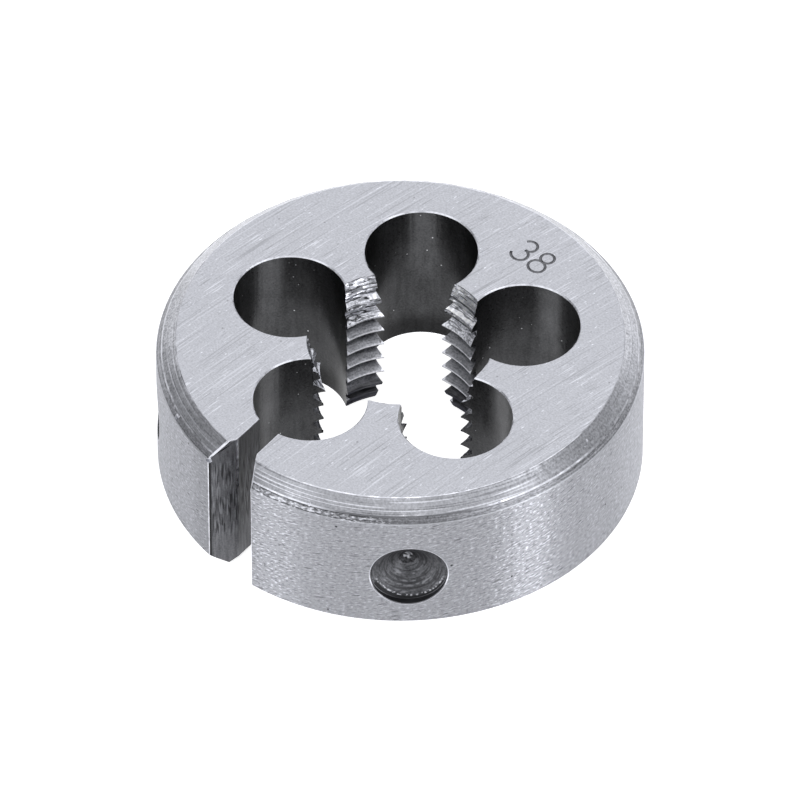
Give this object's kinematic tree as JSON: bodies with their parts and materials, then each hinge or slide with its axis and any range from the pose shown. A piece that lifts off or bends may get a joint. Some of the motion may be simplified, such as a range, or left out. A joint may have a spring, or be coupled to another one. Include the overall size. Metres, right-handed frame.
{
  "type": "threading die",
  "caption": "Round split threading die of hardened steel: toothed lands between chip holes cut an outside thread, and a notched slot sets its size.",
  "frame": {"origin": "the thread's axis at the lower face, on which the die lies", "axes": "+Z along the thread's axis, out of the lead-in side, and the adjusting notch opens towards -Y"},
  "size_m": [0.038, 0.0379, 0.0134],
  "materials": {
    "die_steel": "satin"
  },
  "bodies": {
    "root": {"die_body": "die_steel"}
  },
  "joints": []
}
